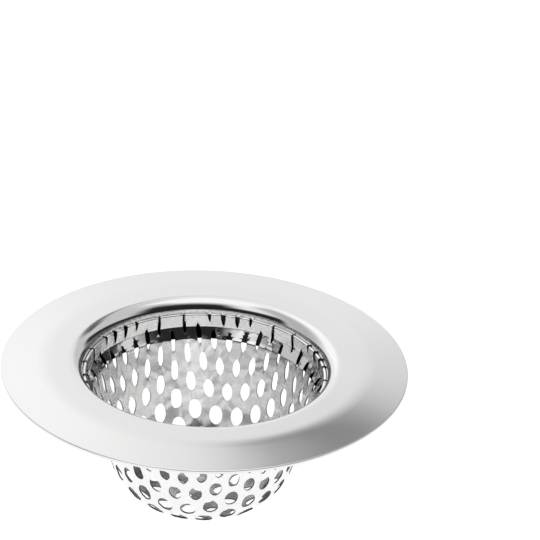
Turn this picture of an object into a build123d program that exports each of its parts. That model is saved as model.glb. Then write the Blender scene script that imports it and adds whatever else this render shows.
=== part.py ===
from build123d import *

import math
import os

# Sink strainer: a satin rim ring whose collar holds a deep-drawn basket of perforated sheet.
# The axis is Z, the origin is the middle of the basket's underside, and all lengths are in millimetres.

# Driving dimensions
rim_diameter = 113.0
strainer_depth = 43.0
rim_sheet = 0.5
basket_sheet = 0.4

# Rim ring: the flange rises from its hemmed edge to a flat crown, then turns down into the collar
hem_width = 3.5
edge_chamfer = 0.2
crown_diameter = 90.0
crown_rise = 1.2
throat_radius = 34.0
rim_bend_radius = 2.8
bend_bands = 3

# Seam: the basket's flare lies on the collar's leaning ledge, and its upright band is hemmed outwards
seam_gap = 0.05
seam_set_down = 1.05
band_height = 4.1
hem_drop = 2.4
hem_chamfer = 0.2
fold_gap = 0.1
flare_height = 3.05
flare_lean = 33.6

# Basket: a flat base, a rounded corner and a tapering wall, all laid out in flats round the axis
wall_taper = 14.5
corner_radius = 18.0
corner_bands = 4
flats = 42

# Perforation: a hexagonal field of round holes that the drawing of the bowl has stretched up the wall
hole_pitch = 5.5
hole_ligament = 2.25
base_hole_sides = 8
wall_hole_sides = 6
rows = 9
shortest_notch = 1.8
draw_stretch_share = 0.055
closed_slot_share = 0.72
punch_overrun = 2.5

# Heights and radii that follow
rim_radius = rim_diameter / 2
crown_radius = crown_diameter / 2
crown_top = strainer_depth + crown_rise
collar_radius = throat_radius + rim_sheet
seam_top = crown_top - rim_bend_radius - seam_set_down
band_bottom = seam_top - band_height
kink_height = band_bottom - flare_height
hem_radius = throat_radius - seam_gap
band_radius = hem_radius - basket_sheet - fold_gap
taper = math.radians(wall_taper)
flare = math.radians(flare_lean)
kink_radius = band_radius - flare_height * math.tan(flare)
corner_angle = math.pi / 2 - taper
corner_centre_radius = (
    kink_radius - (kink_height - corner_radius) * math.tan(taper) - corner_radius / math.cos(taper)
)
foot_radius = corner_centre_radius + corner_radius * math.cos(taper)
foot_height = corner_radius * (1 - math.sin(taper))

# Lengths along the basket's outer face, from the axis out and up to the hemmed edge
corner_length = corner_radius * corner_angle
wall_length = (kink_height - foot_height) / math.cos(taper)
flare_length = flare_height / math.cos(flare)
sheet_length = corner_centre_radius + corner_length + wall_length + flare_length + band_height


def corner_point(angle, inset=0.0):
    """Point on the basket's rounded corner, at an angle from straight down, inset from the outer face."""
    reach = corner_radius - inset
    return corner_centre_radius + reach * math.sin(angle), corner_radius - reach * math.cos(angle)


def rim_bend(inset=0.0):
    """Points of the bend from the crown down to the collar, inset from the outer face."""
    reach = rim_bend_radius - inset
    centre, level = throat_radius + rim_bend_radius, crown_top - rim_bend_radius
    turns = [math.pi / 2 * band / bend_bands for band in range(bend_bands + 1)]
    return [(centre - reach * math.sin(turn), level + reach * math.cos(turn)) for turn in turns]


def rim_section():
    """Section of the rim ring, from the hem over the crown and down the collar to the end of its ledge."""
    hem_inner = rim_radius - hem_width
    hem_bottom = strainer_depth - 2 * rim_sheet
    hem_fold = (rim_radius - rim_sheet, strainer_depth - rim_sheet)
    ledge_inner = kink_radius + seam_gap / math.cos(flare)
    ledge_top = kink_height + (throat_radius - ledge_inner) / math.tan(flare)
    outline = Polyline(
        *reversed(rim_bend()),
        (crown_radius, crown_top),
        (rim_radius - edge_chamfer, strainer_depth),
        (rim_radius, strainer_depth - edge_chamfer),
        (rim_radius, hem_bottom),
        (hem_inner, hem_bottom),
        (hem_inner, strainer_depth - rim_sheet),
        hem_fold,
        (crown_radius, crown_top - rim_sheet),
        *rim_bend(rim_sheet),
        (collar_radius, ledge_top - rim_sheet * math.tan(flare / 2)),
        (ledge_inner + rim_sheet * math.cos(flare), kink_height - rim_sheet * math.sin(flare)),
        (ledge_inner, kink_height),
        (throat_radius, ledge_top),
        close=True,
    )
    return make_face(outline)


def basket_blank():
    """The unpunched basket: a section from the base over the hemmed edge and back down inside, in flats."""
    band_inner = band_radius - basket_sheet
    kink_middle, kink_half = (flare + taper) / 2, (flare - taper) / 2
    kink_inset = basket_sheet / math.cos(kink_half)
    angles = [corner_angle * band / corner_bands for band in range(corner_bands + 1)]
    section = [
        *(corner_point(angle) for angle in angles),
        (kink_radius, kink_height),
        (band_radius, band_bottom),
        (band_radius, seam_top - hem_drop),
        (hem_radius, seam_top - hem_drop),
        (hem_radius, seam_top - hem_chamfer),
        (hem_radius - hem_chamfer, seam_top),
        (band_inner, seam_top),
        (band_inner, band_bottom + basket_sheet * math.tan(flare / 2)),
        (kink_radius - kink_inset * math.cos(kink_middle), kink_height + kink_inset * math.sin(kink_middle)),
        *(corner_point(angle, basket_sheet) for angle in reversed(angles)),
    ]
    turns = [2 * math.pi * (flat + 1 / 2) / flats for flat in range(flats)]
    rings = [[(r * math.cos(turn), r * math.sin(turn), z) for turn in turns] for r, z in section]
    faces = [Face(Wire.make_polygon(rings[0])), Face(Wire.make_polygon(rings[-1]))]
    for low, high in zip(rings, rings[1:]):
        for flat in range(flats):
            corners = (low[flat - 1], low[flat], high[flat], high[flat - 1])
            faces.append(Face(Wire.make_polygon(corners)))
    return Solid(Shell(faces))


def place_on_basket(length):
    """Radius, height and outward slope angle on the outer face, at a length measured from the axis."""
    if length < corner_centre_radius:
        return length, 0.0, 0.0
    if length < corner_centre_radius + corner_length:
        angle = (length - corner_centre_radius) / corner_radius
        return *corner_point(angle), angle
    run = length - corner_centre_radius - corner_length
    if run < wall_length:
        return foot_radius + run * math.sin(taper), foot_height + run * math.cos(taper), corner_angle
    run -= wall_length
    if run < flare_length:
        slope = math.pi / 2 - flare
        return kink_radius + run * math.sin(flare), kink_height + run * math.cos(flare), slope
    return band_radius, band_bottom + run - flare_length, math.pi / 2


def punch(ring, azimuth):
    """One hole's punch: the pitch left by the drawing, less the ligament, closed to a pointed oval.

    There is none for a hole that would notch the hemmed edge less deeply than the shortest notch.
    """
    length = hole_pitch * ring * (1 + draw_stretch_share * ring)
    height = hole_pitch * (1 + 2 * draw_stretch_share * ring) - hole_ligament
    if sheet_length - (length - height / 2) < shortest_notch:
        return None
    radius, level, slope = place_on_basket(length)
    width = (radius / ring if ring else hole_pitch) - hole_ligament
    sides = base_hole_sides
    if radius > foot_radius:
        sides = wall_hole_sides
        sector = math.cos(math.pi / 6) / math.cos(azimuth % (math.pi / 3) - math.pi / 6)
        width *= closed_slot_share / sector**2
    east, north = math.cos(azimuth), math.sin(azimuth)
    outward = Vector(math.sin(slope) * east, math.sin(slope) * north, -math.cos(slope))
    face_plane = Plane((radius * east, radius * north, level), Vector(-north, east, 0), outward)
    turns = [2 * math.pi * side / sides for side in range(sides)]
    outline = [(width / 2 * math.sin(turn), height / 2 * math.cos(turn)) for turn in turns]
    return extrude(face_plane * make_face(Polyline(*outline, close=True)), punch_overrun, outward, both=True)


def punches():
    """Punches for the whole field, one at each point of a hexagonal grid centred on the axis."""
    row_step = math.sqrt(3) / 2
    tools = []
    for row in range(-rows, rows + 1):
        for column in range(-rows, rows + 1):
            x, y = column + row % 2 / 2, row * row_step
            tool = punch(math.hypot(x, y), math.atan2(y, x))
            if tool:
                tools.append(tool)
    return tools


rim = revolve(Plane.XZ * rim_section(), Axis.Z)
field = punches()
basket = basket_blank() - field

os.makedirs("parts", exist_ok=True)
export_step(rim, "parts/rim.step")
export_step(basket, "parts/basket.step")
print(f"holes: {len(field)}, base flat to radius {corner_centre_radius:.2f}, kink radius {kink_radius:.2f}")
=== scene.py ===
"""Sink strainer: a satin rim ring whose collar carries a deep-drawn basket of perforated steel.

It stands in a small white studio. Sizes in the classes are in millimetres and angles in degrees, as on a
maker's drawing. The meshes are in metres.
"""

import logging
import math
from dataclasses import dataclass, field
from enum import Enum, IntEnum
from typing import Iterable

import bmesh
import bpy
from mathutils import Matrix, Vector, noise


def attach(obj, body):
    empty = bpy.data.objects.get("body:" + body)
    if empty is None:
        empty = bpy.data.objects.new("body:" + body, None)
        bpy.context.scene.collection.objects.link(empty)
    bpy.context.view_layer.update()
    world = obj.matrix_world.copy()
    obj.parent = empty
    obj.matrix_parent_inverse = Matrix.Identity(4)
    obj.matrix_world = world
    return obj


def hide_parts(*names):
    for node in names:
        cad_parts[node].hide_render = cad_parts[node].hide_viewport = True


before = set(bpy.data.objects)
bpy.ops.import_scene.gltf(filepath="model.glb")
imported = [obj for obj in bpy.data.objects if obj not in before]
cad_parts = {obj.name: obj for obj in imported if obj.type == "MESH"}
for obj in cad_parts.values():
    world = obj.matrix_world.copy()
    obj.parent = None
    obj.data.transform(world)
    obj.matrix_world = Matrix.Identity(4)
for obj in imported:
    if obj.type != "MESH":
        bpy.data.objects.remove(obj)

MM = 0.001
WHITE = (1.0, 1.0, 1.0, 1.0)
VIEW_AZIMUTH = -77.91
SECTOR = 60.0
Point = tuple[float, float]
Socket = bpy.types.NodeSocket
log = logging.getLogger("strainer")


class Mark(Enum):
    """Face attributes of the blank, for its finish: where it was cut, and which side ends up inside."""

    SHEARED = "sheared"
    INSIDE = "inside"


class Zone(IntEnum):
    """The stretches of the basket's section in order, from the axis up and over the fold, and its end."""

    BASE = 0
    CORNER = 1
    WALL = 2
    KNEE = 3
    FLARE = 4
    SHOULDER = 5
    BAND = 6
    FOLD = 7
    TONGUE = 8
    END = 9


def grey(tone: float) -> tuple[float, float, float, float]:
    """A grey as a colour."""
    return tone, tone, tone, 1.0


def off_sixth(angle: float) -> float:
    """How far a direction in radians lies off the nearest sixth of a turn, in degrees."""
    return (math.degrees(angle) + SECTOR / 2) % SECTOR - SECTOR / 2


def blend(low: float, high: float, share: float) -> float:
    """A value between low and high, with share held between 0 and 1."""
    return low + (high - low) * min(max(share, 0.0), 1.0)


def ease(low: float, high: float, value: float) -> float:
    """Rises smoothly from 0 to 1 while value goes from low to high."""
    share = min(max((value - low) / (high - low), 0.0), 1.0)
    return share * share * (3 - 2 * share)


def arc(centre: Point, radius: float, start: float, end: float, steps: int) -> list[Point]:
    """Points on a circular arc of a section.

    Args:
        centre: middle of the arc, as radius and height.
        radius: radius of the arc.
        start: first angle, in degrees from outwards, turning up.
        end: last angle.
        steps: number of equal steps between the two.

    Returns:
        The points, both ends included.
    """
    turns = [math.radians(start + (end - start) * step / steps) for step in range(steps + 1)]
    return [(centre[0] + radius * math.cos(turn), centre[1] + radius * math.sin(turn)) for turn in turns]


def linked(name: str, shape: bmesh.types.BMesh, finish: bpy.types.Material) -> bpy.types.Object:
    """Turns a bmesh into an object at the origin.

    Args:
        name: name of the object and its mesh.
        shape: its shape, which is freed here.
        finish: its material.

    Returns:
        The new object, linked to the scene.
    """
    mesh = bpy.data.meshes.new(name)
    shape.to_mesh(mesh)
    shape.free()
    mesh.materials.append(finish)
    piece = bpy.data.objects.new(name, mesh)
    bpy.context.scene.collection.objects.link(piece)
    return piece


def finished(name: str, shape: bmesh.types.BMesh, finish: bpy.types.Material) -> bpy.types.Object:
    """Turns a finished bmesh into a smooth-shaded piece.

    Args:
        name: name of the piece.
        shape: its shape, which is freed here.
        finish: its material.

    Returns:
        The piece, whose large faces stay flat in the shading.
    """
    piece = linked(name, shape, finish)
    piece.data.shade_smooth()
    weighted = piece.modifiers.new("flat faces first", "WEIGHTED_NORMAL")
    weighted.mode = "FACE_AREA"
    weighted.keep_sharp = False
    return piece


class Nodes:
    """A short way to lay nodes into a tree."""

    def __init__(self, tree: bpy.types.NodeTree) -> None:
        """Keeps the tree and empties it."""
        self.tree = tree
        tree.nodes.clear()

    def add(self, kind: str, values: dict[str, object] | None = None, **settings: object) -> bpy.types.Node:
        """Adds a node.

        Args:
            kind: its Blender type.
            values: a number, colour or output socket for each named or numbered input.
            settings: its own properties.

        Returns:
            The node.
        """
        node = self.tree.nodes.new(kind)
        for key, value in settings.items():
            setattr(node, key, value)
        for key, value in (values or {}).items():
            socket = node.inputs[int(key)] if key.isdigit() else node.inputs[key]
            if isinstance(value, bpy.types.NodeSocket):
                self.tree.links.new(value, socket)
            else:
                socket.default_value = value
        return node

    def maths(self, operation: str, *values: object) -> Socket:
        """A Math node's output, with its inputs set or linked in order."""
        inputs = {str(number): value for number, value in enumerate(values)}
        return self.add("ShaderNodeMath", inputs, operation=operation).outputs[0]

    def ramp(
        self,
        value: Socket,
        start: float,
        end: float,
        low: float = 0.0,
        high: float = 1.0,
        **settings: object,
    ) -> Socket:
        """Lays a Map Range.

        Args:
            value: the value that is read.
            start: the value that gives low.
            end: the value that gives high.
            low: first result.
            high: last result.
            settings: the node's own properties.

        Returns:
            The result, held between low and high.
        """
        inputs = {"0": value, "1": start, "2": end, "3": low, "4": high}
        return self.add("ShaderNodeMapRange", inputs, **settings).outputs[0]

    def mix(self, mask: Socket, first: object, second: object) -> Socket:
        """A colour that goes from the first to the second as the mask goes from 0 to 1."""
        inputs = {"Factor": mask, "6": first, "7": second}
        return self.add("ShaderNodeMix", inputs, data_type="RGBA").outputs[2]


def sheet_grain_group() -> bpy.types.NodeTree:
    """The marks that rolling, drawing and polishing leave on steel sheet, as one group for both finishes.

    Returns:
        A group that puts out a height for the bump and two masks: a slow smudge and a fine grain.
    """
    group = bpy.data.node_groups.new("sheet grain", "ShaderNodeTree")
    nodes = Nodes(group)
    for name, default in (("Cloud Scale", 60.0), ("Grain Scale", 2500.0), ("Grain Share", 0.4)):
        entry_socket = group.interface.new_socket(name=name, in_out="INPUT", socket_type="NodeSocketFloat")
        entry_socket.default_value = default
    for name in ("Height", "Smudge", "Grain"):
        group.interface.new_socket(name=name, in_out="OUTPUT", socket_type="NodeSocketFloat")
    entry = nodes.add("NodeGroupInput")
    place = nodes.add("ShaderNodeTexCoord").outputs["Object"]
    cloud = nodes.add(
        "ShaderNodeTexNoise", {"Vector": place, "Scale": entry.outputs["Cloud Scale"], "Detail": 3.0}
    ).outputs[0]
    grain = nodes.add(
        "ShaderNodeTexNoise", {"Vector": place, "Scale": entry.outputs["Grain Scale"], "Detail": 2.0}
    ).outputs[0]
    fleck = nodes.maths("MULTIPLY", grain, entry.outputs["Grain Share"])
    height = nodes.maths("ADD", cloud, fleck)
    nodes.add("NodeGroupOutput", {"Height": height, "Smudge": cloud, "Grain": grain})
    return group


@dataclass(frozen=True)
class Seam:
    """Painted shade in the crevice behind the basket's band: the collar's inner face there is painted almost
    black, where light hardly reaches.
    """

    top: float
    bend_height: float
    lean: float
    radius: float
    tone: float
    fade: float = 0.25

    def mask(self, nodes: Nodes, height: Socket, reach: Socket) -> Socket:
        """Lays the mask of the painted shade in the crevice.

        Args:
            nodes: the material's nodes.
            height: height above the base, in metres.
            reach: distance from the axis, in metres.

        Returns:
            A mask, 1 on the collar's and the ledge's inner face below the top of the painted shade.
        """
        below = nodes.maths("MAXIMUM", nodes.maths("SUBTRACT", self.bend_height * MM, height), 0.0)
        inwards = nodes.maths("MULTIPLY", below, math.tan(math.radians(self.lean)))
        face = nodes.maths("SUBTRACT", self.radius * MM, inwards)
        inner = nodes.maths("LESS_THAN", nodes.maths("SUBTRACT", reach, face), self.fade * MM)
        low = nodes.ramp(height, self.top * MM, (self.top - self.fade) * MM)
        return nodes.maths("MULTIPLY", inner, low)


@dataclass(frozen=True)
class Stain:
    """A darker tone low on the inside, deeper in patches."""

    top: float
    fade: float
    strength: float
    patch_range: Point
    patch_shares: Point
    tone: float

    def mask(self, nodes: Nodes, height: Socket, smudge: Socket) -> Socket:
        """Lays the mask of the darker zone.

        Args:
            nodes: the material's nodes.
            height: height above the base, in metres.
            smudge: the slow cloud of the sheet's marks.

        Returns:
            A mask that grows below the top of the darker zone, on the faces that are marked as inside.
        """
        inside = nodes.add("ShaderNodeAttribute", attribute_name=Mark.INSIDE.value).outputs["Fac"]
        low = nodes.ramp(height, self.top * MM, (self.top - self.fade) * MM, 0.0, self.strength)
        patches = nodes.ramp(smudge, *self.patch_range, *self.patch_shares)
        return nodes.maths("MULTIPLY", nodes.maths("MULTIPLY", inside, low), patches)


@dataclass(frozen=True)
class SteelFinish:
    """A finish of stainless steel sheet. It leaves out the painted shade in the crevice or on the cut faces,
    the darker zone low inside, or an edge of the burnish, where that field is None.
    """

    name: str
    tone: float
    roughness: float
    roughness_spread: float
    burnished_roughness: float
    cloud_scale: float
    grain_scale: float
    grain_share: float
    bump_height: float
    burnished_heights: Point | None = None
    burnished_within: float | None = None
    height_fade: float = 0.6
    reach_fade: float = 0.8
    smudge_range: Point = (0.3, 0.7)
    tone_spread: float = 0.02
    blue_share: float = 0.995
    seam: Seam | None = None
    sheared_tone: float | None = None
    sheared_roughness: float = 0.2
    stain: Stain | None = None

    def roughness_of(self, nodes: Nodes, height: Socket, reach: Socket, smudge: Socket) -> Socket:
        """Lays the roughness.

        Args:
            nodes: the material's nodes.
            height: height above the base, in metres.
            reach: distance from the axis, in metres.
            smudge: the slow cloud of the sheet's marks.

        Returns:
            The roughness, which is lower within the edges of the burnish.
        """
        half = self.roughness_spread / 2
        roughness = nodes.ramp(smudge, *self.smudge_range, self.roughness - half, self.roughness + half)
        edges = []
        if self.burnished_heights:
            low, high = self.burnished_heights
            edges += [(height, low, self.height_fade), (height, high, -self.height_fade)]
        if self.burnished_within:
            edges.append((reach, self.burnished_within, -self.reach_fade))
        smoother = self.roughness - self.burnished_roughness
        for value, edge, fade in edges:
            mask = nodes.ramp(value, (edge - fade) * MM, (edge + fade) * MM)
            smoother = nodes.maths("MULTIPLY", mask, smoother)
        return nodes.maths("SUBTRACT", roughness, smoother)

    def material(self, grain_group: bpy.types.NodeTree) -> bpy.types.Material:
        """Makes the finish.

        Args:
            grain_group: the node group of the sheet's marks.

        Returns:
            The material, which reads Object coordinates and the marks on the faces.
        """
        finish = bpy.data.materials.new(self.name)
        finish.use_nodes = True
        nodes = Nodes(finish.node_tree)
        scales = {
            "Cloud Scale": self.cloud_scale,
            "Grain Scale": self.grain_scale,
            "Grain Share": self.grain_share,
        }
        marks = nodes.add("ShaderNodeGroup", scales, node_tree=grain_group).outputs
        place = nodes.add("ShaderNodeTexCoord").outputs["Object"]
        axes = nodes.add("ShaderNodeSeparateXYZ", {"Vector": place}).outputs
        squares = [nodes.maths("POWER", axes[name], 2.0) for name in ("X", "Y")]
        height, reach = axes["Z"], nodes.maths("SQRT", nodes.maths("ADD", *squares))
        roughness = self.roughness_of(nodes, height, reach, marks["Smudge"])
        dark, light = self.tone - self.tone_spread, self.tone + self.tone_spread
        colour = nodes.mix(
            marks["Grain"],
            (dark, dark, dark * self.blue_share, 1.0),
            (light, light, light * self.blue_share, 1.0),
        )
        # Painted shade: the collar's and the ledge's inner face behind the band is painted almost black.
        if self.seam:
            colour = nodes.mix(self.seam.mask(nodes, height, reach), colour, grey(self.seam.tone))
        # Painted shade: the cut faces of the holes are painted dark, as shade inside the narrow holes; their
        # added roughness is the real rough cut.
        if self.sheared_tone is not None:
            cut = nodes.add("ShaderNodeAttribute", attribute_name=Mark.SHEARED.value).outputs["Fac"]
            colour = nodes.mix(cut, colour, grey(self.sheared_tone))
            roughness = nodes.maths("ADD", roughness, nodes.maths("MULTIPLY", cut, self.sheared_roughness))
        # The inside is painted darker towards the base, more so in patches.
        if self.stain:
            low_dark_mask = self.stain.mask(nodes, height, marks["Smudge"])
            colour = nodes.mix(low_dark_mask, colour, grey(self.stain.tone))
        bump = nodes.add(
            "ShaderNodeBump",
            {"Height": marks["Height"], "Distance": self.bump_height * MM, "Strength": 1.0},
        ).outputs[0]
        steel = nodes.add(
            "ShaderNodeBsdfPrincipled",
            {"Base Color": colour, "Metallic": 1.0, "Roughness": roughness, "Normal": bump},
        ).outputs[0]
        nodes.add("ShaderNodeOutputMaterial", {"Surface": steel})
        return finish


@dataclass(frozen=True)
class Stretch:
    """One stretch of a bent sheet's section: its length, and how far it turns up or inwards."""

    length: float
    turn: float = 0.0


@dataclass
class RimRing:
    """The wide rim: a flange with a hemmed edge, a crown, a bend into the throat, a collar and a ledge."""

    radius: float = 56.48
    edge_height: float = 43.0
    sheet: float = 0.5
    hem_width: float = 3.5
    nose_start: float = 50.0
    nose_radius: float = 0.22
    under_radius: float = 0.3
    crown_radius: float = 45.0
    crown_height: float = 44.2
    crown_blend: float = 2.2
    throat_radius: float = 34.0
    bend_radius: float = 3.8
    ledge_lean: float = 33.6
    ledge_bend: float = 1.0
    ledge_bend_height: float = 37.31
    ledge_length: float = 4.0
    arc_steps: int = 6
    nose_steps: int = 5
    under_bend_steps: int = 10
    bend_steps: int = 14
    edge_start: float = 84.0
    nose_step: float = 10.0
    blend_steps: int = 8
    bend_hold: float = 0.6
    edge_hold: float = 0.8
    slope_runs: Point = (4.5, 7.5)
    slit_end: float = 0.1
    weld: float = 0.001
    segments: int = 240

    def flange(self, drop: float) -> list[Point]:
        """Points on the crown and the upper part of the flange, from the throat outwards.

        Args:
            drop: distance below the upper face.

        Returns:
            The points, with the crown's soft change of slope.
        """
        slope = (self.crown_height - self.edge_height) / (self.radius - self.sheet - self.crown_radius)
        top = self.crown_height - drop
        start = self.throat_radius + self.bend_radius
        points = [(start + self.bend_hold, top), ((start + self.crown_radius) / 2, top)]
        for step in range(self.blend_steps + 1):
            share = step / self.blend_steps
            across = self.crown_radius + self.crown_blend * (2 * share - 1)
            points.append((across, top - slope * self.crown_blend * share * share))
        places = [self.crown_radius + run for run in self.slope_runs]
        places.append(self.radius - self.sheet - self.edge_hold)
        return points + [(across, top - slope * (across - self.crown_radius)) for across in places]

    def section(self) -> list[Point]:
        """The outline of the ring's section.

        Returns:
            The closed outline's points in order: upper face, hem, under face, ledge and throat.
        """
        nose = math.radians(self.nose_start)
        inset = self.sheet - self.nose_radius
        hem_inner = self.radius - self.hem_width
        hem_top = self.edge_height - self.sheet
        hem_bottom = hem_top - self.sheet
        edge_centre = (self.radius - self.nose_radius - inset * math.cos(nose), hem_top)
        nose_centre = (self.radius - self.nose_radius, hem_top + inset * math.sin(nose))
        end_radius = self.sheet / 2
        bend_centre = (self.throat_radius + self.bend_radius, self.crown_height - self.bend_radius)
        ledge_centre = (self.throat_radius - self.ledge_bend, self.ledge_bend_height)
        lean = math.radians(self.ledge_lean)
        middle = self.ledge_bend + end_radius
        ledge_end = (
            ledge_centre[0] + middle * math.cos(lean) - self.ledge_length * math.sin(lean),
            ledge_centre[1] - middle * math.sin(lean) - self.ledge_length * math.cos(lean),
        )
        outline = self.flange(0.0)
        outline += arc(edge_centre, self.sheet, self.edge_start, self.nose_start, self.arc_steps)
        outline += arc(nose_centre, self.nose_radius, self.nose_start - self.nose_step, 0.0, self.nose_steps)
        under_centre = (self.radius - self.under_radius, hem_bottom + self.under_radius)
        outline += arc(under_centre, self.under_radius, 0.0, -90.0, self.arc_steps)
        outline += [(hem_inner + end_radius + self.bend_hold, hem_bottom)]
        hem_end = (hem_inner + end_radius, hem_top - end_radius)
        outline += arc(hem_end, end_radius, 270.0, 90.0, self.arc_steps)
        outline += [(edge_centre[0] - self.slit_end, hem_top)]
        outline += reversed(self.flange(self.sheet))
        outline += arc(bend_centre, self.bend_radius - self.sheet, 90.0, 180.0, self.under_bend_steps)
        outline += arc(ledge_centre, self.ledge_bend + self.sheet, 0.0, -self.ledge_lean, self.arc_steps)
        outline += arc(ledge_end, end_radius, -self.ledge_lean, -self.ledge_lean - 180.0, self.arc_steps)
        outline += arc(ledge_centre, self.ledge_bend, -self.ledge_lean, 0.0, self.arc_steps)
        outline += arc(bend_centre, self.bend_radius, 180.0, 90.0, self.bend_steps)
        return outline

    def build(self, finish: bpy.types.Material) -> bpy.types.Object:
        """Spins the section into the ring.

        Args:
            finish: the rim's material.

        Returns:
            The rim, which stands in for the CAD node rim, which is hidden.
        """
        shape = bmesh.new()
        verts = [shape.verts.new((across * MM, 0.0, up * MM)) for across, up in self.section()]
        edges = [shape.edges.new((verts[number - 1], vert)) for number, vert in enumerate(verts)]
        bmesh.ops.spin(
            shape,
            geom=verts + edges,
            cent=(0.0, 0.0, 0.0),
            axis=(0.0, 0.0, 1.0),
            dvec=(0.0, 0.0, 0.0),
            angle=2 * math.pi,
            steps=self.segments,
            use_merge=True,
            use_normal_flip=False,
            use_duplicate=False,
        )
        bmesh.ops.remove_doubles(shape, verts=shape.verts[:], dist=self.weld * MM)
        bmesh.ops.recalc_face_normals(shape, faces=shape.faces[:])
        piece = finished("rim_ring", shape, finish)
        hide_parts("rim")
        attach(piece, "root")
        return piece


@dataclass
class PerforatedBasket:
    """The basket, made as a real one is: a flat perforated blank is drawn into a bowl and hemmed.

    Sizes on the flat blank, which are those from field_offset to shaped_rings, are in hole pitches.
    """

    sheet: float = 0.4
    base_radius: float = 8.894
    corner_radius: float = 18.0
    taper: float = 14.5
    wall_end: float = 53.0
    flare_lean: float = 33.6
    knee_radius: float = 0.8
    band_radius: float = 33.45
    fold_height: float = 39.9
    fold_radius: float = 0.05
    tongue: float = 2.0
    ligament: float = 2.25
    draw: tuple[float, ...] = (5.8, 0.915, -0.152, 0.0085)
    field_offset: Point = (0.34, -0.53)
    field_edge: float = 7.9
    last_hole: float = 7.97
    last_cell: float = 9.2
    hole_points: int = 36
    first_inset: float = 0.1
    blank_sheet: float = 0.066
    edge_round: float = 0.009
    snap: float = 0.012
    weld: float = 0.0001
    upper_ring: float = 5.0
    shaped_rings: Point = (3.2, 6.0)
    sharp_angle: float = 60.0
    gap_growth: float = 0.05
    gap_closing: Point = (0.5, 0.13)
    gap_up: Point = (0.2, 0.5)
    hole_power: Point = (-0.42, 0.8)
    upper_power: float = 1.6
    lower_power: float = 0.8
    slant: float = 0.1
    scores: tuple[tuple[Zone, int], ...] = (
        (Zone.KNEE, 2),
        (Zone.FLARE, 3),
        (Zone.SHOULDER, 4),
        (Zone.BAND, 4),
    )
    fold_steps: int = 10
    tongue_steps: int = 2
    flare_lead: float = 0.3
    lump_height: float = 0.16
    lump_bias: float = 0.25
    lump_round: float = 14.0
    lump_along: float = 0.45
    lump_detail: Point = (0.6, 2.3)
    solve_steps: int = 8
    stretches: dict[Zone, Stretch] = field(default_factory=dict)
    bends: dict[Zone, float] = field(default_factory=dict)

    def __post_init__(self) -> None:
        """Works out the stretches of the outer face's section, and the lengths at which it changes."""
        lean, flare = math.radians(self.taper), math.radians(self.flare_lean)
        corner_turn = 90.0 - self.taper
        corner = self.corner_radius * math.radians(corner_turn)
        wall = self.wall_end - self.base_radius - corner
        foot_radius = self.base_radius + self.corner_radius * math.cos(lean)
        foot_height = self.corner_radius * (1 - math.sin(lean))
        kink_radius = foot_radius + wall * math.sin(lean)
        run = (self.band_radius - kink_radius) / math.sin(flare)
        band_start = foot_height + wall * math.cos(lean) + run * math.cos(flare)
        first = self.knee_radius * math.tan((flare - lean) / 2)
        second = self.knee_radius * math.tan(flare / 2)
        self.stretches = {
            Zone.BASE: Stretch(self.base_radius),
            Zone.CORNER: Stretch(corner, corner_turn),
            Zone.WALL: Stretch(wall - first),
            Zone.KNEE: Stretch(self.knee_radius * (flare - lean), self.taper - self.flare_lean),
            Zone.FLARE: Stretch(run - first - second),
            Zone.SHOULDER: Stretch(self.knee_radius * flare, self.flare_lean),
            Zone.BAND: Stretch(self.fold_height - band_start - second),
            Zone.FOLD: Stretch(self.fold_radius * math.pi, -180.0),
            Zone.TONGUE: Stretch(self.tongue),
        }
        reached = 0.0
        for zone, stretch in self.stretches.items():
            self.bends[zone] = reached
            reached += stretch.length
        self.bends[Zone.END] = reached

    def lengths_in(self, zone: Zone, steps: int) -> list[float]:
        """Divides a stretch of the section evenly.

        Args:
            zone: the stretch.
            steps: number of parts.

        Returns:
            The lengths from the axis at which the parts meet, both ends included.
        """
        start, end = self.bends[zone], self.bends[Zone(zone + 1)]
        return [blend(start, end, step / steps) for step in range(steps + 1)]

    def drawn_length(self, ring: float) -> float:
        """Length from the axis along the drawn outer face, for a radius on the flat blank."""
        return sum(share * ring ** (power + 1) for power, share in enumerate(self.draw))

    def drawn_pitch(self, ring: float) -> float:
        """Radial hole pitch after drawing, at a radius on the flat blank."""
        return sum(share * (power + 1) * ring**power for power, share in enumerate(self.draw))

    def ring_at(self, length: float) -> float:
        """Finds where on the blank a point of the section comes from, by Newton's method.

        Args:
            length: length along the section from the axis.

        Returns:
            The radius on the blank that drawing takes to this length.
        """
        ring = length / self.draw[0]
        for _ in range(self.solve_steps):
            ring -= (self.drawn_length(ring) - length) / self.drawn_pitch(ring)
        return ring

    def section_at(self, length: float) -> tuple[float, float, float]:
        """Place on the outer face's section.

        Args:
            length: length along the section from the axis.

        Returns:
            Radius, height and heading, the last in radians from outwards.
        """
        across, up, heading = 0.0, 0.0, 0.0
        left = length
        for zone, stretch in self.stretches.items():
            run = left if zone is Zone.TONGUE else min(left, stretch.length)
            turn = math.radians(stretch.turn) * run / stretch.length
            if turn:
                radius = run / turn
                across += radius * (math.sin(heading + turn) - math.sin(heading))
                up += radius * (math.cos(heading) - math.cos(heading + turn))
            else:
                across += run * math.cos(heading)
                up += run * math.sin(heading)
            heading += turn
            left -= run
            if left <= 0:
                break
        return across, up, heading

    def holes(self) -> Iterable[tuple[float, float, float]]:
        """The blank's hexagonal grid.

        Returns:
            For each cell that reaches into the blank, its x, y and distance from the axis in hole pitches.
        """
        row_step = math.cos(math.radians(SECTOR / 2))
        reach = math.ceil(self.last_cell / row_step)
        for row in range(-reach, reach + 1):
            for column in range(-reach, reach + 1):
                x, y = column + row % 2 / 2, row * row_step
                ring = math.hypot(x, y)
                if ring < self.last_cell:
                    yield x, y, ring

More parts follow.
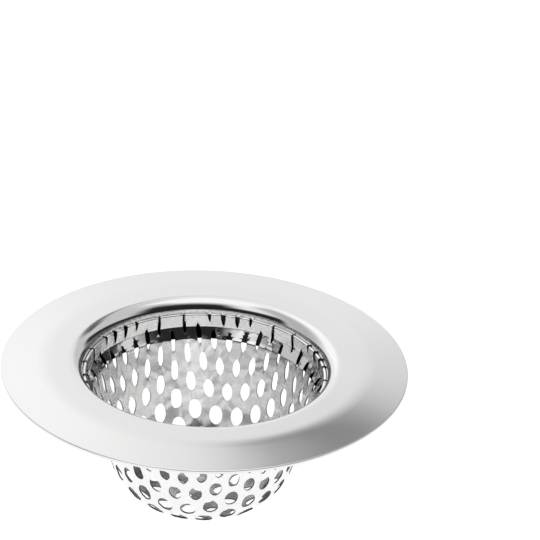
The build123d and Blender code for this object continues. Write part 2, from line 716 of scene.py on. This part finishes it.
    def hole_outline(self, x: float, y: float, ring: float, angle: float) -> Point:
        """A point on a hole's edge, on the flat blank.

        Args:
            x: x of the hole's middle, in hole pitches.
            y: y of the hole's middle, in hole pitches.
            ring: the middle's distance from the axis, in hole pitches.
            angle: direction of the point from the hole's middle, in radians.

        Returns:
            The point, in hole pitches.
        """
        azimuth = math.atan2(y, x) if ring else 0.0
        off_ray = off_sixth(azimuth)
        sector = abs(off_ray) / (SECTOR / 2)
        high = ease(*self.shaped_rings, ring)
        share = ring / self.upper_ring
        pitch_up = self.drawn_pitch(ring)
        pitch_across = self.section_at(self.drawn_length(ring))[0] / ring if ring else pitch_up
        closing = max(ring - self.upper_ring, 0.0) * blend(*self.gap_closing, sector)
        gap_across = self.ligament + self.gap_growth * share + closing
        gap_up = self.ligament + blend(*self.gap_up, sector) * min(share, 1.0)
        half_across = (pitch_across - gap_across) / 2 / pitch_across
        half_up = (pitch_up - gap_up) / 2 / pitch_up
        turn = angle - azimuth
        power = self.upper_power if math.cos(turn) > 0 else self.lower_power
        point = 1 + high * blend(*self.hole_power, sector**power)
        side = math.copysign(abs(math.sin(turn)) ** point, math.sin(turn))
        out = half_up * math.cos(turn)
        slant = -self.slant * high * math.sin(math.tau * off_ray / SECTOR) * pitch_up / pitch_across
        across = half_across * side + slant * out
        px = x + out * math.cos(azimuth) - across * math.sin(azimuth)
        py = y + out * math.sin(azimuth) + across * math.cos(azimuth)
        return px, py

    def blank(self) -> bmesh.types.BMesh:
        """Makes the flat perforated blank, one hole pitch to a unit.

        Returns:
            The blank, trimmed round, given its thickness and with rounded and marked edges.
        """
        half_pitch, upright = 0.5, 0.5
        shape = bmesh.new()
        punched, plain = [], []
        for x, y, ring in self.holes():
            circle = bmesh.ops.create_circle(
                shape, cap_ends=True, cap_tris=False, segments=self.hole_points, radius=half_pitch,
                matrix=Matrix.Translation((x, y, 0.0)),
            )["verts"]
            for vert in circle:
                way = vert.co - Vector((x, y, 0.0))
                from_flat = math.radians(off_sixth(math.atan2(way.y, way.x)))
                vert.co = Vector((x, y, 0.0)) + way / math.cos(from_flat)
            face = circle[0].link_faces[0]
            if ring < self.last_hole:
                punched.append((face, x, y, ring))
            else:
                plain.append(face)
        faces = [row[0] for row in punched]
        bmesh.ops.inset_individual(shape, faces=faces, thickness=self.first_inset, use_even_offset=True)
        for face, x, y, ring in punched:
            for vert in face.verts:
                angle = math.atan2(vert.co.y - y, vert.co.x - x)
                vert.co.x, vert.co.y = self.hole_outline(x, y, ring, angle)
        bmesh.ops.delete(shape, geom=faces, context="FACES_ONLY")
        bmesh.ops.poke(shape, faces=plain)
        bmesh.ops.remove_doubles(shape, verts=shape.verts[:], dist=self.weld)
        self.offset_field(shape)
        for zone, steps in self.scores:
            for length in self.lengths_in(zone, steps):
                self.score(shape, length)
        limit = self.ring_at(self.bends[Zone.FOLD])
        outside = [face for face in shape.faces if face.calc_center_median().length > limit]
        bmesh.ops.delete(shape, geom=outside, context="FACES")
        self.edge_rings(shape)
        sheet = bmesh.ops.extrude_face_region(shape, geom=shape.faces[:])["geom"]
        lifted = [item for item in sheet if isinstance(item, bmesh.types.BMVert)]
        bmesh.ops.translate(shape, verts=lifted, vec=(0.0, 0.0, self.blank_sheet))
        bmesh.ops.recalc_face_normals(shape, faces=shape.faces[:])
        sheared = shape.faces.layers.float.new(Mark.SHEARED.value)
        inside = shape.faces.layers.float.new(Mark.INSIDE.value)
        for face in shape.faces:
            face[sheared] = float(abs(face.normal.z) < upright)
            face[inside] = float(face.normal.z > upright)
        sharp = math.radians(self.sharp_angle)
        corners = [edge for edge in shape.edges if edge.calc_face_angle(0.0) > sharp]
        bmesh.ops.bevel(
            shape,
            geom=corners,
            offset=self.edge_round,
            offset_type="OFFSET",
            affect="EDGES",
            segments=2,
            profile=0.5,
            material=-1,
            clamp_overlap=True,
        )
        return shape

    def offset_field(self, shape: bmesh.types.BMesh) -> None:
        """Sets the field of holes off the blank's middle, by less and less out to the field's edge.

        Args:
            shape: the blank.
        """
        for vert in shape.verts:
            share = max(1.0 - (vert.co.length / self.field_edge) ** 2, 0.0)
            vert.co.x += self.field_offset[0] * share
            vert.co.y += self.field_offset[1] * share

    def score(self, shape: bmesh.types.BMesh, length: float) -> None:
        """Scores a circle into the blank, where the drawn sheet bends.

        Args:
            shape: the blank.
            length: length from the axis at which the circle ends up.
        """
        ring = self.ring_at(length)
        for vert in shape.verts:
            reach = vert.co.length
            if abs(reach - ring) < self.snap:
                vert.co *= ring / reach
        shares = {}
        for edge in shape.edges:
            start, way = edge.verts[0].co, edge.verts[1].co - edge.verts[0].co
            near, far = sorted((start.length, edge.verts[1].co.length))
            if near < ring - self.weld and far > ring + self.weld:
                square, half = way.length_squared, start.dot(way)
                root = math.sqrt(half * half - square * (start.length_squared - ring * ring))
                share = (root - half) / square
                shares[edge] = share if 0 < share < 1 else (-root - half) / square
        bmesh.ops.bisect_edges(shape, edges=list(shares), cuts=1, edge_percents=shares)
        scored = [vert for vert in shape.verts if abs(vert.co.length - ring) < self.weld]
        bmesh.ops.connect_verts(shape, verts=scored)

    def edge_rings(self, shape: bmesh.types.BMesh) -> None:
        """Extrudes the blank's edge outwards in rings, for the fold and the tongue behind it.

        Args:
            shape: the blank, still without thickness.
        """
        lengths = self.lengths_in(Zone.FOLD, self.fold_steps)[1:]
        lengths += self.lengths_in(Zone.TONGUE, self.tongue_steps)[1:]
        limit = self.ring_at(self.bends[Zone.FOLD])
        edges = [
            edge
            for edge in shape.edges
            if edge.is_boundary and all(abs(vert.co.length - limit) < 2 * self.weld for vert in edge.verts)
        ]
        for length in lengths:
            made = bmesh.ops.extrude_edge_only(shape, edges=edges)["geom"]
            edges = [item for item in made if isinstance(item, bmesh.types.BMEdge)]
            edges = [edge for edge in edges if all(vert in made for vert in edge.verts)]
            ring = self.ring_at(length)
            for vert in (item for item in made if isinstance(item, bmesh.types.BMVert)):
                vert.co *= ring / vert.co.length

    def draw_blank(self, shape: bmesh.types.BMesh) -> None:
        """Draws the flat blank into the bowl.

        Every point goes to its place on the section at its own azimuth, and the flare swells unevenly.

        Args:
            shape: the blank.
        """
        share, scale = self.lump_detail
        for vert in shape.verts:
            flat = Vector((vert.co.x, vert.co.y))
            length = self.drawn_length(flat.length)
            across, up, heading = self.section_at(length)
            azimuth = math.atan2(flat.y, flat.x)
            east, north = math.cos(azimuth), math.sin(azimuth)
            where = Vector((east * self.lump_round, north * self.lump_round, length * self.lump_along))
            lump = noise.noise(where) + share * noise.noise(where * scale)
            rising = ease(self.wall_end + self.flare_lead, self.bends[Zone.FLARE], length)
            falling = ease(self.bends[Zone.SHOULDER], self.bends[Zone.BAND], length)
            depth = self.sheet * vert.co.z / self.blank_sheet
            depth += self.lump_height * rising * (1.0 - falling) * max(lump + self.lump_bias, 0.0)
            across -= depth * math.sin(heading)
            up += depth * math.cos(heading)
            vert.co = Vector((across * east, across * north, up)) * MM

    def build(self, finish: bpy.types.Material) -> bpy.types.Object:
        """Makes the blank and draws it.

        Args:
            finish: the basket's material.

        Returns:
            The basket, which stands in for the CAD node basket, which is hidden.
        """
        shape = self.blank()
        self.draw_blank(shape)
        bmesh.ops.recalc_face_normals(shape, faces=shape.faces[:])
        piece = finished("perforated_basket", shape, finish)
        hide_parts("basket")
        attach(piece, "root")
        return piece


@dataclass(frozen=True)
class Card:
    """A card with faded edges, bent round the strainer, which only the metal mirrors."""

    name: str
    azimuths: Point
    elevations: Point
    tone: float
    side_fade: float
    end_fades: Point
    distance: float

    def paint(self, nodes: Nodes) -> None:
        """Lays the card's paint: a plain glow that fades out towards the four edges.

        Args:
            nodes: the material's nodes, which read the card's own coordinates.
        """
        half = math.radians(self.azimuths[1] - self.azimuths[0]) / 2
        place = nodes.add("ShaderNodeTexCoord").outputs["Object"]
        axes = nodes.add("ShaderNodeSeparateXYZ", {"Vector": place}).outputs
        turn = nodes.maths("ABSOLUTE", nodes.maths("ARCTAN2", axes["Y"], axes["X"]))
        lift = nodes.maths("ARCSINE", nodes.maths("DIVIDE", axes["Z"], self.distance * MM))
        low, high = (math.radians(value) for value in self.elevations)
        fades = [
            (turn, half, half - math.radians(self.side_fade)),
            (lift, low, low + math.radians(self.end_fades[0])),
            (lift, high, high - math.radians(self.end_fades[1])),
        ]
        masks = [nodes.ramp(*fade, interpolation_type="SMOOTHSTEP") for fade in fades]
        cover = nodes.maths("MULTIPLY", nodes.maths("MULTIPLY", masks[0], masks[1]), masks[2])
        clear = nodes.add("ShaderNodeBsdfTransparent", {"Color": WHITE}).outputs[0]
        glow = nodes.add("ShaderNodeEmission", {"Color": WHITE, "Strength": self.tone}).outputs[0]
        both = nodes.add("ShaderNodeMixShader", {"0": cover, "1": clear, "2": glow}).outputs[0]
        nodes.add("ShaderNodeOutputMaterial", {"Surface": both})


@dataclass
class Studio:
    """The white floor, the air, the soft lamp, and the dark and pale cards that the metal mirrors."""

    cards: tuple[Card, ...]
    floor_size: float = 6000.0
    floor_tone: float = 0.8
    floor_glow: float = 0.54
    air_level: float = 0.75
    rim_height: float = 40.0
    card_segments: tuple[int, int] = (32, 16)

    def place(self, azimuth: float, elevation: float, distance: float) -> Vector:
        """A point round the strainer.

        Args:
            azimuth: its azimuth from the camera's own.
            elevation: its elevation.
            distance: its distance from the rim's middle.

        Returns:
            The point, in metres.
        """
        turn, lift = math.radians(VIEW_AZIMUTH + azimuth), math.radians(elevation)
        flat, up = distance * math.cos(lift), distance * math.sin(lift)
        return Vector((flat * math.cos(turn), flat * math.sin(turn), up + self.rim_height)) * MM

    def shown(self, nodes: Nodes) -> Socket:
        """Lays the mask of what the camera sees, straight, in metal or through glass.

        Args:
            nodes: nodes of a world or a material.

        Returns:
            A mask, 1 for camera, glossy and transmission rays.
        """
        path = nodes.add("ShaderNodeLightPath").outputs
        shown = nodes.maths("MAXIMUM", path["Is Camera Ray"], path["Is Glossy Ray"])
        return nodes.maths("MAXIMUM", shown, path["Is Transmission Ray"])

    def world(self) -> None:
        """White to the camera and in the metal, and a plain level of light for everything else."""
        world = bpy.data.worlds.new("studio air")
        world.use_nodes = True
        nodes = Nodes(world.node_tree)
        shown = self.shown(nodes)
        white = nodes.add("ShaderNodeBackground", {"Color": WHITE, "Strength": 1.0}).outputs[0]
        plain = nodes.add("ShaderNodeBackground", {"Color": WHITE, "Strength": self.air_level}).outputs[0]
        mixed = nodes.add("ShaderNodeMixShader", {"0": shown, "1": plain, "2": white}).outputs[0]
        nodes.add("ShaderNodeOutputWorld", {"Surface": mixed})
        bpy.context.scene.world = world

    def floor(self) -> None:
        """A pale floor that shows white and keeps a soft shadow."""
        paper = bpy.data.materials.new("white paper")
        paper.use_nodes = True
        nodes = Nodes(paper.node_tree)
        strength = nodes.maths("MULTIPLY", self.shown(nodes), self.floor_glow)
        glow = nodes.add("ShaderNodeEmission", {"Color": WHITE, "Strength": strength}).outputs[0]
        matt = nodes.add("ShaderNodeBsdfDiffuse", {"Color": grey(self.floor_tone)}).outputs[0]
        both = nodes.add("ShaderNodeAddShader", {"0": glow, "1": matt}).outputs[0]
        nodes.add("ShaderNodeOutputMaterial", {"Surface": both})
        shape = bmesh.new()
        bmesh.ops.create_grid(shape, x_segments=1, y_segments=1, size=self.floor_size / 2 * MM)
        sheet = linked("floor", shape, paper)

    def card(self, card: Card) -> None:
        """Bends a card round the strainer.

        Args:
            card: its place, edges and tone.
        """
        paint = bpy.data.materials.new(card.name)
        paint.use_nodes = True
        card.paint(Nodes(paint.node_tree))
        start, end = card.azimuths
        columns, rows = self.card_segments
        half_side = 0.5
        shape = bmesh.new()
        bmesh.ops.create_grid(shape, x_segments=columns, y_segments=rows, size=half_side)
        for vert in shape.verts:
            turn = math.radians((end - start) * vert.co.x)
            lift = math.radians(blend(*card.elevations, vert.co.y + half_side))
            flat, up = card.distance * math.cos(lift), card.distance * math.sin(lift)
            vert.co = Vector((flat * math.cos(turn), flat * math.sin(turn), up)) * MM
        sheet = linked(card.name, shape, paint)
        sheet.location.z = self.rim_height * MM
        sheet.rotation_euler.z = math.radians(VIEW_AZIMUTH + (start + end) / 2)
        sheet.visible_camera = sheet.visible_diffuse = sheet.visible_shadow = False

    def lamp(
        self, name: str, azimuth: float, elevation: float, distance: float, size: float, power: float
    ) -> None:
        """Hangs a soft square lamp round the strainer, facing it.

        Args:
            name: its name.
            azimuth: its azimuth from the camera's own.
            elevation: its elevation.
            distance: its distance from the rim's middle.
            size: the side of its square.
            power: its power in watts.
        """
        data = bpy.data.lights.new(name, "AREA")
        data.shape, data.size, data.energy = "SQUARE", size * MM, power
        lamp = bpy.data.objects.new(name, data)
        bpy.context.scene.collection.objects.link(lamp)
        lamp.location = self.place(azimuth, elevation, distance)
        lamp.rotation_euler = (-lamp.location).to_track_quat("-Z", "Y").to_euler()

    def build(self) -> None:
        """Sets up the air, the floor, the lamp and the cards."""
        self.world()
        self.floor()
        self.lamp("top_lamp", azimuth=0.0, elevation=90.0, distance=900.0, size=700.0, power=0.3)
        for card in self.cards:
            self.card(card)


@dataclass
class PhotoCamera:
    """The camera, fitted to the photograph, which has the strainer left of and below its middle."""

    azimuth: float = VIEW_AZIMUTH
    elevation: float = 29.43
    roll: float = 1.757
    distance: float = 600.0
    target_height: float = 43.0
    focal_pixels: float = 2154.72
    frame_pixels: float = 540.0
    target_pixel: Point = (205.19, 362.05)
    sensor: float = 36.0

    def build(self) -> None:
        """Places the camera so that the middle of the rim's edge falls on its pixel."""
        turn, lift, roll = (math.radians(value) for value in (self.azimuth, self.elevation, self.roll))
        back = Vector((math.cos(turn) * math.cos(lift), math.sin(turn) * math.cos(lift), math.sin(lift)))
        level = Vector((-math.sin(turn), math.cos(turn), 0.0))
        upright = back.cross(level)
        right = level * math.cos(roll) + upright * math.sin(roll)
        above = upright * math.cos(roll) - level * math.sin(roll)
        middle = self.frame_pixels / 2
        aim = Vector(
            (
                (self.target_pixel[0] - middle) / self.focal_pixels,
                (middle - self.target_pixel[1]) / self.focal_pixels,
                -1.0,
            )
        ).normalized()
        swing = Vector((0.0, 0.0, -1.0)).rotation_difference(aim).to_matrix()
        to_camera = swing @ Matrix((right, above, back))
        data = bpy.data.cameras.new("camera")
        data.sensor_width = self.sensor
        data.lens = self.focal_pixels / self.frame_pixels * self.sensor
        data.clip_start, data.clip_end = 0.01, 20.0
        camera = bpy.data.objects.new("camera", data)
        bpy.context.scene.collection.objects.link(camera)
        place = (Vector((0.0, 0.0, self.target_height)) + back * self.distance) * MM
        camera.matrix_world = Matrix.Translation(place) @ to_camera.transposed().to_4x4()
        bpy.context.scene.camera = camera


SATIN = SteelFinish(
    name="satin steel",
    tone=0.78,
    roughness=0.19,
    roughness_spread=0.03,
    burnished_roughness=0.09,
    cloud_scale=45.0,
    grain_scale=2600.0,
    grain_share=0.5,
    bump_height=0.004,
    burnished_within=36.6,
    # Painted shade: the crevice behind the band is painted almost black.
    seam=Seam(
        top=40.1,
        bend_height=RimRing.ledge_bend_height,
        lean=RimRing.ledge_lean,
        radius=RimRing.throat_radius,
        tone=0.02,
    ),
)
POLISHED = SteelFinish(
    name="polished steel",
    tone=0.92,
    roughness=0.2,
    roughness_spread=0.04,
    burnished_roughness=0.06,
    cloud_scale=160.0,
    grain_scale=1200.0,
    grain_share=0.12,
    bump_height=0.012,
    burnished_heights=(33.0, 36.6),
    # Painted shade on the cut faces of the holes.
    sheared_tone=0.1,
    # Painted darker low on the inside, in patches.
    stain=Stain(
        top=8.0,
        fade=3.0,
        strength=0.9,
        patch_range=(0.4, 0.55),
        patch_shares=(0.6, 1.0),
        tone=0.12,
    ),
)
CARDS = (
    Card(
        "room_camera_side", azimuths=(-42.0, 84.0), elevations=(-2.0, 72.0), tone=0.02,
        side_fade=30.0, end_fades=(0.5, 31.0), distance=1300.0,
    ),
    Card(
        "room_camera_left", azimuths=(-84.0, 0.0), elevations=(-2.0, 38.0), tone=0.02,
        side_fade=12.0, end_fades=(0.5, 12.0), distance=1310.0,
    ),
    Card(
        "room_right_low", azimuths=(50.0, 142.0), elevations=(-2.0, 23.0), tone=0.03,
        side_fade=14.0, end_fades=(0.5, 5.0), distance=1320.0,
    ),
    Card(
        "dark_patch", azimuths=(134.0, 181.0), elevations=(33.0, 50.0), tone=0.12,
        side_fade=8.0, end_fades=(5.0, 8.0), distance=1340.0,
    ),
    Card(
        "grey_right", azimuths=(46.0, 172.0), elevations=(-2.0, 74.0), tone=0.68,
        side_fade=16.0, end_fades=(0.5, 16.0), distance=1400.0,
    ),
    Card(
        "grey_left", azimuths=(-146.0, -52.0), elevations=(-2.0, 72.0), tone=0.55,
        side_fade=40.0, end_fades=(0.5, 10.0), distance=1420.0,
    ),
    Card(
        "pale_back_left", azimuths=(-178.0, -122.0), elevations=(6.0, 64.0), tone=1.2,
        side_fade=16.0, end_fades=(16.0, 14.0), distance=1440.0,
    ),
)


def main() -> None:
    """Builds the strainer, its finishes, the studio and the camera, and logs each piece's face count."""
    logging.basicConfig(level=logging.INFO, format="%(name)s: %(message)s")
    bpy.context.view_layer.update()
    scene = bpy.context.scene
    scene.view_settings.view_transform = "Standard"
    grain = sheet_grain_group()
    pieces = [
        RimRing().build(SATIN.material(grain)),
        PerforatedBasket().build(POLISHED.material(grain)),
    ]
    for piece in pieces:
        log.info("%s: %d faces", piece.name, len(piece.data.polygons))
    Studio(CARDS).build()
    PhotoCamera().build()
    bpy.context.view_layer.update()


if __name__ == "__main__":
    main()
